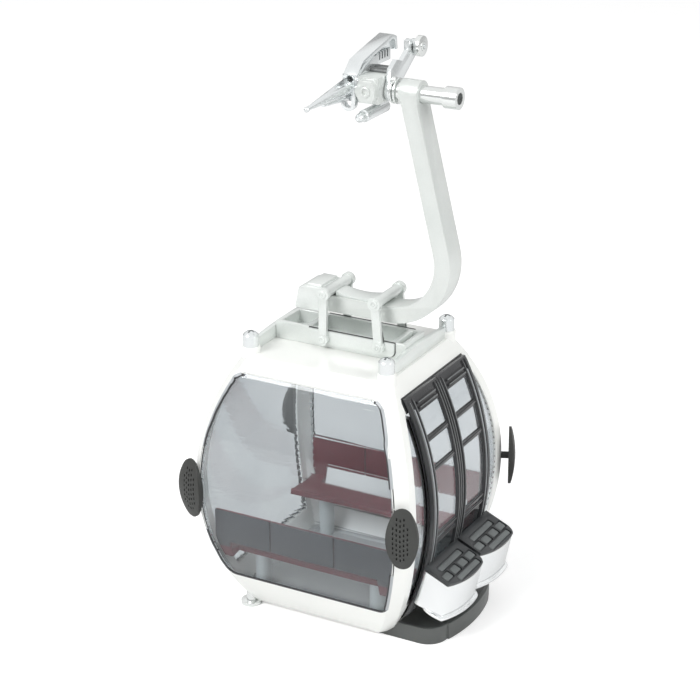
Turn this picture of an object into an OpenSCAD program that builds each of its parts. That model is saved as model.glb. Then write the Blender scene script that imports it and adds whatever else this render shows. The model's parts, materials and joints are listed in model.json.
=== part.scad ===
// Gondola cabin with its hanger and rope grip, a desk-size model that stands on two feet and a step.
// X points out of the door side, Y runs along the rope, Z is up and z = 0 is the ground.

/* [Shell] */
// Half of the width across the sides, at the belt
shell_half_w = 30.2; // [29:0.1:31]
// Half of the length between the end windows, at the belt
shell_half_l = 28.8; // [28:0.1:29.5]
// Radius of the bowed sides
side_r = 62; // [60:1:66]
// Radius of the bowed ends
end_r = 60; // [58:1:64]
// Height of the belt, where the shell is widest
belt_z = 35; // [34:0.5:36]
// Underside of the shell
shell_z0 = 0.9; // [0.8:0.1:1.2]
// Top of the roof
roof_z = 68.8; // [68.5:0.1:69.5]
// Thickness of walls, roof and floor pan
wall = 1.5; // [1.2:0.1:1.8]
// Plan radius of the blunt corners at the belt
corner_r = 39.4; // [38.9:0.1:39.8]
// Upright radius of the corner line
corner_bow = 48; // [46:1:50]

/* [Windows] */
// White border left beside the end windows
end_border = 3; // [2.5:0.1:3.5]
// Upright radius of the end windows' edges
window_r = 65; // [62:1:70]
// Bottom edge of the windows
window_z0 = 10.2; // [10:0.1:12]
// Top edge of the windows
window_z1 = 64.9; // [64:0.1:65.2]
// Radius of the window corners
window_corner = 3; // [2:0.5:4]
// Half length of the side openings at the belt
lens_half = 23; // [22.5:0.1:23.5]
// Upright radius of the side openings' edges
lens_r = 68; // [66:1:72]
// Thickness of the panes
glass = 0.8; // [0.6:0.1:1]

/* [Door] */
// Length of one leaf, from the meeting line to its outer edge
leaf_l = 16; // [15.5:0.1:16.2]
// Thickness of a leaf
leaf_t = 0.8; // [0.7:0.1:0.9]
// Gap behind a leaf, in which it runs
leaf_gap = 0.25; // [0.2:0.05:0.3]
// Lower edge of the leaves
leaf_z0 = 6.4; // [6:0.1:7]
// Upper edge of the leaves
leaf_z1 = 64.4; // [64:0.1:64.6]
// Width of the stile at the meeting line
inner_stile = 2.4; // [2:0.1:2.8]
// Width of the outer stile
outer_stile = 3.1; // [2.8:0.1:3.4]

/* [Racks] */
// Height at which the lid of a rack meets the leaf
rack_z = 22; // [21:0.1:23]
// Length of a lid along the door
rack_l = 16.8; // [16:0.1:17.2]
// Width of a lid at its widest, from the leaf outwards
rack_w = 9.6; // [9:0.1:10]
// Fall of the lid, outwards
rack_tilt = 24; // [20:1:28]
// Lean of the pocket, back under the cabin
rack_lean = 12; // [8:1:16]
// Depth of the pocket, from the lid's inner edge to the flange
rack_depth = 12.2; // [11:0.1:13]

/* [Hanger] */
// Height of the bar where it lies over the roof, at its centre
beam_z = 79.7; // [79:0.1:80.5]
// Thickness of the bar in the plane of its bend
bar_t = 4.1; // [3.8:0.1:4.4]
// Width of the bar along the rope
bar_w = 6.4; // [6:0.1:7]
// Radius of the bend, at the bar's centre
bend_r = 14; // [13:0.5:15]
// Where the bend starts, from the cabin's middle
bend_x = 12.8; // [12:0.1:14]
// Lean of the post, back over the cabin
post_lean = 13.5; // [12:0.5:15]
// Height of the pivot at the top
pivot_z = 134.3; // [132:0.1:136]

/* [Grip] */
// Rope line, from the cabin's middle
rope_x = 3.4; // [3:0.1:4]
// Height of the rope line
rope_z = 137; // [136.5:0.1:137.5]
// Radius of the rope
rope_r = 0.8; // [0.5:0.1:1]
// Running clearance of pins, all round
pin_gap = 0.06; // [0.04:0.01:0.08]

/* [Hidden] */
$fn = 96;

cab_x = -2;              // the cabin's middle plane, from the middle of the whole model
far = 60;                // longer than any cutter needs to be
seam = 0.04;             // gap between the end frames and the side pieces
pan_z = 4.6;             // joint line between the floor pan and the frames
pan_floor_z = 3.5;       // inside of the floor pan
roof_split = 66.2;       // joint line between the frames and the roof
header_z = 64.6;         // top of the black surround, just over the leaves
step_z = 4.4;            // height of the entrance step
step_rim = 1;            // width of the step's raised rim
step_ledge_z = 3.2;      // height of the step inside its rim
sill_z = 4.6;            // lower edge of the door surround
post_half = 16.6;        // outer edge of the upright bars beside the leaves
post_w = 1.6;            // width of those bars
side_glass_z = [10, 61]; // lower and upper edge of the narrow panes beside the door
floor_z = [5, 5.6];      // cabin floor and the rim round it
// openings in a leaf, from the kick panel up: lower and upper edge
leaf_lights = [[8.2, 26.3], [27.5, 28.3], [29.5, 45.9], [47.1, 53.2], [54.4, 60.4]];
rack_y = [-17.3, 0.5];   // near end of the front and of the rear rack
rack_corner = 3.1;       // round far corner of a rack
rack_bow_r = 26.5;       // plan radius of a rack's outer edge
rack_bow_v = 11;         // where that edge is widest, from its near end
lid_t = 1;
flange_t = 0.7;
flange_grow = 0.5;       // the flange stands this far out of the pocket
seat_half = 25;          // half width of a bench
pan_front = [12, 17.8];  // y and z of a seat pan's front upper edge
pan_back = [20.5, 17];   // y and z of its back upper edge
pan_t = 1.3;
pan_nose = 0.3;          // a pan's lower front edge stands this far in front of the upper one
back_y = 24;             // front face of a backrest
back_z = [20.2, 28.4];   // lower and upper edge of a backrest
back_t = 0.5;            // thickness of each of a backrest's two skins
lug_w = 4;               // width of the lugs that join a backrest to its pan
lug_z = 16.6;            // lower end of the lugs
pedestal_r = 2;
pedestal_at = [16.5, 16.2];
pad_h = 15.8;
pad_half_w = 3.95;
pad_t = 1.8;
pad_bow_r = 13;          // radius of the pads' long edges
pad_corner = 2.6;
pad_dome_r = 26;         // the pads' outer faces are domed
pad_stem_r = 0.9;
// middle of a pad's back, and its turn from facing straight out of the end; front, then rear
pad_places = [[[29.4, 28, 34.6], 18], [[31.7, 26.4, 34.3], 66]];
foot_at = [-19.3, 18.4];
rail_x = 18.8;           // roof rails and posts, either side of the middle
post_y = 15.9;           // roof posts, either side of the middle
eye_x = bend_x + bend_r * cos(post_lean) - (pivot_z - beam_z - bend_r - bend_r * sin(post_lean)) * tan(post_lean);
pin_r = 1.2;             // pivot pin
tube_r = 2.05;           // tube on the outside of the eye
body_x1 = 11;            // outer side of the grip body
lever_x = 11.2;          // inner side of the lever
lever_t = 1.2;           // thickness of the lever
roller_y = 11.6;         // roller, from the pivot
roller_z = 142.4;
roller_pin_r = 0.5;
jaw_x = [1.4, 5.8];      // inner and outer face of the jaws
jaw_half = 4.8;          // half length of the jaws
jaw_z = [131.8, 141];    // lower and upper face of the jaws
rope_room = 0.3;         // clearance round the rope beside the jaws
// tongues: middle x, middle z, base radius, tip radius, fall, front length, rear length
tongues = [[2.9, 135.3, 2, 0.45, 3, 19, 12], [2.4, 133.2, 1.5, 0.4, 0, 11, 8]];
// bent cover plate over the rope, as an outline in Y and Z; it hooks down at its far end
hood_outline = [[-5.2, 138.2], [-2.2, 141], [2, 142], [12.6, 144.2], [14.6, 143.4], [15, 140.2],
    [14, 140.2], [13.7, 142.7], [12.4, 143.1], [2.2, 140.9], [-1.6, 139.9], [-4.2, 138.1]];
hood_points_under = 6;   // how many of those points are on its underside
// yokes: middle of the top bar, then middle of the lower bosses, in X and Z
yoke_places = [[[-3.7, 83.1], [-4, 71.3]], [[10.5, 83.1], [11.5, 72]]];

// the whole model is centred on z, so each piece steps across from the cabin's middle
module at_cabin() {
    translate([cab_x, 0, 0]) children();
}

// x of a bowed side at height z, grown outwards by grow
function side_x(z, grow = 0) =
    shell_half_w - side_r + sqrt(pow(side_r + grow, 2) - pow(z - belt_z, 2));

// disc on its side, lying along Y
module along_y(r, y0, y1) {
    translate([0, y1, 0]) rotate([90, 0, 0]) rotate(90) cylinder(r = r, h = y1 - y0);
}

// disc on its side, lying along X
module along_x(r, x0, x1) {
    translate([x0, 0, 0]) rotate([0, 90, 0]) cylinder(r = r, h = x1 - x0);
}

// the space between two bowed sides
module between_sides(inset) {
    intersection_for(side = [-1, 1])
        translate([side * (side_r - shell_half_w), 0, belt_z])
            along_y(side_r - inset, -far, far, $fn = 180);
}

// the space between two bowed ends
module between_ends(inset) {
    intersection_for(end = [-1, 1])
        translate([0, end * (end_r - shell_half_l), belt_z])
            along_x(end_r - inset, -far, far, $fn = 180);
}

// the barrel that blunts the four corners
module corner_barrel(inset) {
    translate([0, 0, belt_z])
        rotate_extrude($fn = 180)
            intersection() {
                translate([corner_r - corner_bow, 0]) circle(corner_bow - inset);
                translate([0, -far]) square([2 * far, 2 * far]);
            }
}

// a slice of the shell's outer form, from z0 to z1
module form(inset, z0, z1) {
    intersection() {
        between_sides(inset);
        between_ends(inset);
        corner_barrel(inset);
        translate([-far, -far, z0]) cube([2 * far, 2 * far, z1 - z0]);
    }
}

// a ring of the shell's wall, outset to inset, from z0 to z1
module shell_ring(z0, z1, outer = 0, inner = wall) {
    difference() {
        form(outer, z0, z1);
        form(inner, z0 - 1, z1 + 1);
    }
}

// flat outline with bowed sides: half wide at mid, from v0 to v1, its corners rounded
module bowed(half, radius, mid, v0, v1, corner = 0) {
    difference() {
        intersection() {
            translate([half - radius, mid]) rotate(90) circle(radius, $fn = 180);
            translate([radius - half, mid]) rotate(90) circle(radius, $fn = 180);
            translate([-half, v0]) square([2 * half, v1 - v0]);
        }
        if (corner > 0) for (side = [-1, 1], v = [v0, v1])
            scale([side, 1]) corner_waste(half, radius, mid, v, v == v0 ? 1 : -1, corner);
    }
}

// what a rounded corner takes off a bowed outline
module corner_waste(half, radius, mid, v, inward, corner) {
    cv = v + inward * corner;
    cu = half - radius + sqrt(pow(radius - corner, 2) - pow(cv - mid, 2));
    tip_u = half - radius + sqrt(pow(radius, 2) - pow(v - mid, 2));
    out = radius / (radius - corner);
    arc_mid = [half - radius, mid];
    difference() {
        polygon([[cu, cv], [cu, v - inward], [tip_u + 2, v - inward],
            [tip_u + 2, (cv - mid) * out + mid], arc_mid + ([cu, cv] - arc_mid) * out]);
        translate([cu, cv]) circle(corner, $fn = 48);
    }
}

// stands a flat outline up and runs it along Y, from y0 to y1
module run_y(y0, y1) {
    translate([0, y1, 0]) rotate([90, 0, 0]) linear_extrude(y1 - y0) children();
}

// stands a flat outline up and runs it along X, from x0 to x1; the outline's u is Y
module run_x(x0, x1) {
    translate([x0, 0, 0]) rotate([90, 0, 90]) linear_extrude(x1 - x0) children();
}

module end_window_outline(border = 0) {
    bowed(shell_half_w - end_border - border, window_r, belt_z,
        window_z0 + border, window_z1 - border, window_corner);
}

module lens_outline(inset, v0, v1) {
    bowed(lens_half - inset, lens_r, belt_z, v0, v1);
}

// the part of the sides that isn't end frame; side is 1 at the door
module side_bay(side, z0, z1, inset = 0) {
    scale([side, 1, 1]) run_x(8, far) lens_outline(inset, z0, z1);
}

// the roof reaches down between the corner posts, to the top of the door
module roof_shell() {
    color("white") at_cabin() {
        difference() {
            form(0, roof_split, roof_z);
            form(wall, roof_split - 1, roof_z - wall);
        }
        intersection() {
            shell_ring(header_z, roof_split);
            side_bay(1, 1, 2 * far);
        }
    }
}

module floor_pan() {
    color("white") at_cabin() difference() {
        form(0, shell_z0, pan_z);
        form(wall, pan_floor_z, pan_z + 1);
    }
}

// end frame with its window and both corner pillars; end is -1 in front and 1 behind
module end_frame(end) {
    color("white") at_cabin() scale([1, end, 1]) difference() {
        intersection() {
            shell_ring(pan_z, roof_split);
            translate([-far, 8, 0]) cube([2 * far, far, 2 * far]);
        }
        run_y(8, far) end_window_outline();
        side_bay(1, 1, 2 * far);
        side_bay(-1, 1, 2 * far);
    }
}

// rail over and under the left window, and the slim posts at its ends
module left_side_frame() {
    color("white") at_cabin() difference() {
        intersection() {
            shell_ring(pan_z, roof_split);
            side_bay(-1, 1, 2 * far, seam);
        }
        run_x(-far, 0) lens_outline(0.8, window_z0, window_z1);
    }
}

module door_surround() {
    color("#202123") at_cabin() difference() {
        intersection() {
            shell_ring(sill_z, header_z);
            side_bay(1, 1, 2 * far, seam);
        }
        run_x(0, far) difference() {
            lens_outline(0.6, side_glass_z[0], side_glass_z[1]);
            for (side = [-1, 1])
                translate([side * (post_half - post_w / 2), 0]) square([post_w, 2 * far], center = true);
        }
        run_x(0, far) translate([post_w - post_half, leaf_z0 + 2])
            square([2 * (post_half - post_w), leaf_z1 - leaf_z0 - 3]);
    }
}

module end_window(end) {
    color("lightsteelblue", 0.4) at_cabin() scale([1, end, 1]) intersection() {
        shell_ring(window_z0, window_z1, 0.5, 0.5 + glass);
        run_y(8, far) end_window_outline();
    }
}

module left_window() {
    color("lightsteelblue", 0.4) at_cabin() intersection() {
        shell_ring(window_z0, window_z1, 0.5, 0.5 + glass);
        run_x(-far, 0) lens_outline(0.8, window_z0, window_z1);
    }
}

// the two narrow panes beside the door
module door_side_glass() {
    color("lightsteelblue", 0.4) at_cabin() intersection() {
        shell_ring(side_glass_z[0], side_glass_z[1], 0.4, 0.4 + glass);
        run_x(0, far) difference() {
            lens_outline(0.6, side_glass_z[0], side_glass_z[1]);
            square([2 * post_half, 4 * far], center = true);
        }
    }
}

// a curved sheet that follows the door side, grow0 to grow1 outside the shell
module door_sheet(grow0, grow1, z0, z1) {
    intersection() {
        translate([shell_half_w - side_r, 0, belt_z]) difference() {
            along_y(side_r + grow1, -far, far, $fn = 180);
            along_y(side_r + grow0, -far - 1, far + 1, $fn = 180);
        }
        translate([10, -far, z0]) cube([far, 2 * far, z1 - z0]);
    }
}

// the openings of a leaf, as blocks that run out of the door side
module leaf_openings() {
    for (light = leaf_lights)
        translate([0, inner_stile, light[0]])
            cube([far, leaf_l - inner_stile - outer_stile, light[1] - light[0]]);
}

// one leaf frame; end is -1 for the front leaf and 1 for the rear leaf
module leaf_frame(end) {
    color("#202123") at_cabin() scale([1, end, 1]) difference() {
        intersection() {
            door_sheet(leaf_gap, leaf_gap + leaf_t, leaf_z0, leaf_z1);
            translate([0, 0.1, 0]) cube([far, leaf_l - 0.1, 2 * far]);
        }
        leaf_openings();
    }
}

// the pane fills the leaf's openings, in the inner half of its thickness
module leaf_glass(end) {
    color("lightsteelblue", 0.4) at_cabin() scale([1, end, 1]) intersection() {
        door_sheet(leaf_gap, leaf_gap + leaf_t / 2, leaf_z0, leaf_z1);
        leaf_openings();
    }
}

// everything from the leaf's outer face inwards
module door_keep_out() {
    translate([shell_half_w - side_r, 0, belt_z])
        along_y(side_r + leaf_gap + leaf_t, -far, far, $fn = 180);
}

// puts a rack's own frame where its lid meets the leaf: u outwards, v along Y from the near end
module rack_place(end, tilt) {
    translate([side_x(rack_z, leaf_gap + leaf_t), rack_y[end < 0 ? 0 : 1], rack_z])
        rotate([0, tilt, 0]) children();
}

// a rack in plan: bowed outer edge and one well-rounded corner, at the far end
module rack_plan(grow) {
    intersection() {
        translate([rack_w - rack_bow_r, rack_bow_v]) circle(rack_bow_r + grow, $fn = 180);
        union() {
            translate([-5, -grow]) square([20, rack_l - rack_corner + grow]);
            translate([-5, -grow]) square([5 + rack_w - rack_corner, rack_l + 2 * grow]);
            translate([rack_w - rack_corner, rack_l - rack_corner]) circle(rack_corner + grow, $fn = 48);
        }
    }
}

// rounds the near inner corner of a plan by r, from the line u = u0 outwards
module near_corner(u0, r, grow) {
    translate([u0 + r, r - grow]) circle(r, $fn = 96);
    translate([u0 + r, -grow]) square([20, 30]);
    translate([-6, r - grow]) square([30, 30]);
}

module rack_lid(end) {
    color("#26282b") at_cabin() difference() {
        rack_place(end, rack_tilt) translate([0, 0, -lid_t]) linear_extrude(lid_t) rack_plan(0);
        door_keep_out();
        rack_place(end, rack_tilt) for (k = [0:3])
            translate([4.6, 0.9 + k * 4.1, -0.4]) cube([1.8, 3, 1]);
    }
}

// silver pocket that leans in under its lid, on a flange with one big round corner
module rack_body(end) {
    color("silver") at_cabin() difference() {
        rack_place(end, rack_lean) {
            translate([0, 0, -rack_depth]) linear_extrude(flange_t) intersection() {
                rack_plan(flange_grow);
                near_corner(-1.8, 7.7, flange_grow);
            }
            translate([0, 0, -rack_depth + flange_t]) linear_extrude(rack_depth) intersection() {
                rack_plan(-0.35);
                near_corner(-3.2, 4, -0.35);
            }
        }
        rack_place(end, rack_tilt) translate([-5, -1, -lid_t]) cube([20, rack_l + 2, 20]);
        door_keep_out();
    }
}

module step_outline(grow) {
    difference() {
        intersection() {
            translate([35.4 - 41, 0]) circle(41 + grow, $fn = 180);
            translate([15, -16.8 - grow]) square([30, 33.6 + 2 * grow]);
        }
        for (end = [-1, 1]) scale([1, end]) difference() {
            translate([28, 11.5]) square(20);
            translate([28, 11.5]) circle(5.3 + grow, $fn = 48);
        }
    }
}

module entrance_step() {
    color("#202123") at_cabin() difference() {
        linear_extrude(step_z) step_outline(0);
        translate([0, 0, step_ledge_z]) linear_extrude(5) step_outline(-step_rim);
        form(0, shell_z0, 20);
    }
}

module feet() {
    color("silver") at_cabin() difference() {
        for (end = [-1, 1]) translate([foot_at[0], end * foot_at[1], 0]) {
            cylinder(r = 2.7, h = shell_z0);
            cylinder(r = 1.3, h = 6);
        }
        form(0, shell_z0, 20);
    }
}

// the four seat pedestals, from the floor up
module pedestal_posts() {
    for (end = [-1, 1], side = [-1, 1])
        translate([side * pedestal_at[0], end * pedestal_at[1], floor_z[0]])
            cylinder(r = pedestal_r, h = 20);
}

module cabin_floor() {
    color("lightgray") at_cabin() difference() {
        form(wall, pan_floor_z, floor_z[1]);
        form(wall + 1.4, floor_z[0], 8);
        pedestal_posts();
    }
}

// red seat pan, front skin of the backrest and the two lugs between them
module bench(end) {
    color("#6d2230") at_cabin() scale([1, end, 1]) difference() {
        union() {
            run_x(-seat_half, seat_half) polygon([pan_front, pan_back,
                pan_back - [0, pan_t], pan_front - [pan_nose, pan_t]]);
            translate([-seat_half, back_y, back_z[0]])
                cube([2 * seat_half, back_t, back_z[1] - back_z[0]]);
            for (side = [-1, 1])
                translate([side * (seat_half - lug_w / 2) - lug_w / 2, 0, 0]) run_x(0, lug_w)
                    polygon([[back_y, back_z[1]], [back_y + back_t, back_z[1]], [back_y + back_t, lug_z],
                        [back_y - 0.4, lug_z - 1.3], pan_back - [0, pan_t], pan_back, [back_y, lug_z + 1]]);
        }
        form_outside(wall + 0.4);
    }
}

// everything outside the shell's inner face, for trimming what stands inside
module form_outside(inset) {
    difference() {
        translate([-far, -far, 1]) cube([2 * far, 2 * far, 80]);
        form(inset, 0, 90);
    }
}

// dark back skin of a backrest, and of its lugs
module bench_back(end) {
    color("#3a3d42") at_cabin() scale([1, end, 1]) difference() {
        union() {
            translate([-seat_half, back_y + back_t, back_z[0]])
                cube([2 * seat_half, back_t, back_z[1] - back_z[0]]);
            for (side = [-1, 1])
                translate([side * (seat_half - lug_w / 2) - lug_w / 2, back_y + back_t, lug_z])
                    cube([lug_w, back_t, back_z[0] - lug_z]);
        }
        form_outside(wall + 0.4);
    }
}

// pedestals, cut off just under the sloping seat pans
module bench_pedestals() {
    under = pan_t + 0.02;
    color("gainsboro") at_cabin() difference() {
        pedestal_posts();
        for (end = [-1, 1]) scale([1, end, 1]) run_x(-far, far)
            polygon([pan_front - [pan_nose, under], pan_back - [0, under], [pan_back[0], 40],
                [pan_front[0] - pan_nose, 40]]);
    }
}

module bumper(side, end) {
    place = pad_places[end < 0 ? 0 : 1];
    color("#1d1e20") at_cabin() scale([side, end, 1]) difference() {
        translate(place[0]) rotate([0, 0, -place[1]]) {
            intersection() {
                run_y(0, pad_t) bowed(pad_half_w, pad_bow_r, 0, -pad_h / 2, pad_h / 2, pad_corner);
                translate([0, pad_t - pad_dome_r, 0]) sphere(pad_dome_r);
            }
            along_y(pad_stem_r, -5.5, 0, $fn = 48);
        }
        form(0, shell_z0, roof_z);
    }
}

module roof_carrier() {
    color("silver") at_cabin() difference() {
        translate([-rail_x + 0.65, -5.2, roof_z]) cube([2 * rail_x - 1.3, 10.4, 4.7]);
        for (pocket = [[-16.6, -9.8], [-8.3, 14], [15.4, 17]])
            translate([pocket[0], -4.1, roof_z + 1.2]) cube([pocket[1] - pocket[0], 8.2, 9]);
    }
}

module carrier_plates() {
    color("silver") at_cabin() for (end = [-1, 1])
        scale([1, end, 1]) run_y(5.2, 5.8) union() {
            translate([-8.3, 71.2]) square([23.7, 2.2]);
            translate([-6.9, 69.8]) square([20.9, 2]);
            for (x = [-6.9, 14]) translate([x, 71.2]) circle(1.4, $fn = 48);
        }
}

// two arched ribs, each with its ends cut round the posts
module roof_rails() {
    color("silver") at_cabin() difference() {
        intersection() {
            for (side = [-1, 1]) translate([side * rail_x - 0.65, -post_y, roof_z]) cube([1.3, 2 * post_y, 6]);
            translate([0, 0, 72.4 - 115]) along_x(115, -far, far, $fn = 360);
        }
        for (side = [-1, 1], end = [-1, 1])
            translate([side * rail_x, end * post_y, 60]) cylinder(r = 1.95, h = 30);
    }
}

module roof_posts() {
    color("silver") at_cabin() difference() {
        for (side = [-1, 1], end = [-1, 1])
            translate([side * rail_x, end * post_y, 66.4]) {
                cylinder(r = 1.95, h = 6.8);
                intersection() {
                    translate([0, 0, 5.48]) sphere(2.4);
                    translate([0, 0, 6.8]) cylinder(r = 1.95, h = 2);
                }
            }
        form(0, 60, roof_z);
    }
}

// two straps that hang from a cross bar; the bar lies on the hanger
module yoke(place) {
    top = place[0];
    foot = place[1];
    lean = atan((top[0] - foot[0]) / (top[1] - foot[1]));
    color("silver") at_cabin() {
        translate([top[0], 0, top[1]]) {
            along_y(1.3, -6.4, 6.4, $fn = 48);
            for (end = [-1, 1]) scale([1, end, 1]) along_y(1.7, 5.6, 7, $fn = 48);
        }
        for (end = [-1, 1]) scale([1, end, 1]) {
            translate([foot[0], 0, foot[1]]) {
                along_y(1.5, 5.8, 7, $fn = 48);
                rotate([0, lean, 0]) translate([-1.1, 5.8, 0]) cube([2.2, 0.9, top[1] - foot[1]]);
            }
        }
    }
}

module saddle_strip() {
    color("silver") at_cabin() difference() {
        translate([-2.4, -2.6, beam_z + bar_t / 2]) cube([11.6, 5.2, 1.5]);
        translate([3.4, 0, 82.3 + 24]) along_y(24, -5, 5, $fn = 180);
    }
}

module bar_section() {
    square([bar_t, bar_w], center = true);
}

// bar over the roof, bend, leaning post and the eye at its top
module hanger_arm() {
    post_z0 = bend_r * sin(post_lean);
    color("silver") at_cabin() difference() {
        union() {
            translate([-5, -bar_w / 2, beam_z - bar_t / 2]) cube([bend_x + 5, bar_w, bar_t]);
            translate([bend_x, 0, beam_z + bend_r]) rotate([90, 0, 0])
                rotate_extrude(angle = 90 + post_lean, start = -90, $fn = 180)
                    translate([bend_r, 0]) bar_section();
            translate([bend_x, 0, beam_z + bend_r]) rotate([0, -post_lean, 0])
                translate([bend_r - bar_t / 2, -bar_w / 2, 0])
                    cube([bar_t, bar_w, (pivot_z - beam_z - bend_r - post_z0) / cos(post_lean)]);
            translate([eye_x, 0, pivot_z]) along_x(bar_w / 2, -2.4, 2.4);
        }
        translate([eye_x, 0, pivot_z]) {
            along_x(pin_r, -9, 9, $fn = 48);
            along_x(tube_r + 0.1, 2.4, 9, $fn = 64);
            along_x(tube_r + 0.3, -9, -2.4, $fn = 64);
        }
    }
}

module hanger_end_block() {
    color("silver") at_cabin() run_y(-4.8, 4.8) polygon([
        [-13, 77.6], [-5, 77.6], [-5, 84], [-9.6, 84], [-11.8, 83.2]]);
}

// pin through the eye, on which the grip and its lever turn
module pivot_pin() {
    color("silver") at_cabin() translate([0, 0, pivot_z])
        along_x(pin_r, 8.6, eye_x + 2.4, $fn = 48);
}

module pivot_tube() {
    color("silver") at_cabin() translate([eye_x + 2.4, 0, pivot_z]) difference() {
        union() {
            along_x(tube_r, 0, 6.2, $fn = 64);
            along_x(2.6, 6.2, 9.6, $fn = 64);
        }
        for (turn = [0, 30]) rotate([turn, 0, 0]) along_x(1.5, 7.4, 12, $fn = 6);
    }
}

module pivot_washers() {
    color("silver") at_cabin() translate([0, 0, pivot_z]) difference() {
        union() {
            along_x(3.1, 12.6, 13.1, $fn = 64);
            along_x(2.2, 13.1, eye_x - 2.4, $fn = 64);
            along_x(3.1, 13.5, 14, $fn = 64);
        }
        along_x(pin_r, 0, 30, $fn = 48);
    }
}

module rope_line(grow = 0) {
    translate([rope_x, 0, rope_z]) along_y(rope_r + grow, -far, far, $fn = 48);
}

module grip_body() {
    color("silver") at_cabin() difference() {
        union() {
            translate([jaw_x[1], -5.2, jaw_z[0]]) cube([body_x1 - jaw_x[1], 10.4, 6.2]);
            intersection() {
                translate([8.6, 0, 135]) rotate([0, 30, 0]) along_y(3, -7, 0, $fn = 6);
                translate([jaw_x[1], -far, 0]) cube([body_x1 - jaw_x[1], 2 * far, 200]);
            }
            for (y = [1, 3.6]) translate([0, y, 138.1]) along_x(0.75, jaw_x[1], body_x1, $fn = 32);
        }
        translate([0, 0, pivot_z]) along_x(pin_r + pin_gap, 8.4, 20, $fn = 48);
        translate([8.6, 0, 135]) along_y(0.6, -9, -6, $fn = 32);
    }
}

module fixed_jaw() {
    color("silver") at_cabin() difference() {
        translate([jaw_x[0], -jaw_half, rope_z]) cube([jaw_x[1] - jaw_x[0], 2 * jaw_half, jaw_z[1] - rope_z]);
        translate([-2, -7, 141.4]) rotate([0, 40, 0]) cube([4, 14, 3]);
        rope_line();
        hood_cut();
    }
}

module lower_jaw() {
    color("silver") at_cabin() difference() {
        translate([jaw_x[0], -jaw_half, jaw_z[0]])
            cube([jaw_x[1] - jaw_x[0], 2 * jaw_half, rope_z - jaw_z[0]]);
        rope_line();
    }
}

// the tapered tongues of one end, which lead the rope into the jaw; end is -1 in front
module tongue_pair(end) {
    for (t = tongues) translate([t[0], end * jaw_half, t[1]])
        rotate([-end * (90 + t[4]), 0, 0]) cylinder(r1 = t[2], r2 = t[3], h = end < 0 ? t[5] : t[6]);
}

module rope_horns() {
    color("silver") at_cabin() difference() {
        for (end = [-1, 1]) tongue_pair(end);
        translate([-far, -jaw_half, 0]) cube([2 * far, 2 * jaw_half, 200]);
        rope_line(rope_room);
    }
}

// open ring in front of the jaws, round the short tongue
module hook_ring() {
    color("silver") at_cabin() difference() {
        run_y(-jaw_half - 1.4, -jaw_half) difference() {
            union() {
                translate([3.6, 131.6]) circle(1.9, $fn = 48);
                translate([1.7, 131.6]) square([3.8, 4]);
            }
            translate([3.6, 131.6]) circle(0.9, $fn = 48);
            translate([2.7, 131.6]) square([1.8, 5]);
        }
        tongue_pair(-1);
        rope_line(rope_room);
    }
}

module grip_hood() {
    color("silver") at_cabin() run_x(1.8, 5.6) polygon(hood_outline);
}

// room for the hood and for all that lies over it
module hood_cut() {
    under = [for (k = [1:hood_points_under]) hood_outline[len(hood_outline) - k]];
    run_x(0, 9) polygon(concat([[-5.2, 150], hood_outline[0]], under, [[15, 150]]));
}

module grip_handle() {
    color("silver") at_cabin() {
        translate([8.4, 0, 129.4]) {
            along_y(1.5, -9, 3.5, $fn = 48);
            intersection() {
                translate([0, -9, 0]) sphere(1.5, $fn = 48);
                translate([-2, -12, -2]) cube([4, 3, 4]);
            }
        }
        translate([7.4, -1, 129.4]) cube([2, 4.5, 2.4]);
    }
}

module grip_lever() {
    color("silver") at_cabin() difference() {
        union() {
            run_x(lever_x, lever_x + lever_t) union() {
                translate([0, pivot_z]) circle(2.6, $fn = 64);
                polygon([[-2, 135.6], [-1.2, 139.4], [1.6, 141.2], [4.4, 140.3], [7.4, 142.2], [7.2, 144.4],
                    [8.8, 144.6], [9.6, 143.2], [11.4, 144], [12.8, 141.4], [2.5, 134.4]]);
                translate([roller_y, roller_z]) circle(1.6, $fn = 48);
            }
            translate([0, roller_y, roller_z]) along_x(roller_pin_r, lever_x, 14.6, $fn = 32);
        }
        translate([0, 0, pivot_z]) along_x(pin_r + pin_gap, 0, 30, $fn = 48);
    }
}

module lever_roller() {
    color("silver") at_cabin() translate([0, roller_y, roller_z]) difference() {
        union() {
            along_x(2.5, 12.7, 14.1, $fn = 64);
            along_x(1.1, 12.5, 14.4, $fn = 64);
        }
        along_x(roller_pin_r + pin_gap, 10, 20, $fn = 32);
    }
}

roof_shell();
floor_pan();
end_frame(-1);  // front_end_frame
end_frame(1);  // rear_end_frame
left_side_frame();
door_surround();
end_window(-1);  // front_window
end_window(1);  // rear_window
left_window();
door_side_glass();
leaf_frame(-1);  // front_leaf_frame
leaf_glass(-1);  // front_leaf_glass
leaf_frame(1);  // rear_leaf_frame
leaf_glass(1);  // rear_leaf_glass
rack_body(-1);  // front_rack_body
rack_lid(-1);  // front_rack_lid
rack_body(1);  // rear_rack_body
rack_lid(1);  // rear_rack_lid
entrance_step();
feet();
cabin_floor();
bench(-1);  // front_bench
bench_back(-1);  // front_bench_back
bench(1);  // rear_bench
bench_back(1);  // rear_bench_back
bench_pedestals();
bumper(1, -1);  // door_front_bumper
bumper(1, 1);  // door_rear_bumper
bumper(-1, -1);  // left_front_bumper
bumper(-1, 1);  // left_rear_bumper
roof_carrier();
carrier_plates();
roof_rails();
roof_posts();
yoke(yoke_places[0]);  // inner_yoke
yoke(yoke_places[1]);  // outer_yoke
saddle_strip();
hanger_arm();
hanger_end_block();
pivot_pin();
pivot_tube();
pivot_washers();
grip_body();
fixed_jaw();
lower_jaw();
rope_horns();
hook_ring();
grip_hood();
grip_handle();
grip_lever();
lever_roller();
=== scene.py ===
import json
import math
import bmesh
import bpy
from mathutils import Matrix, Quaternion, Vector


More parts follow.
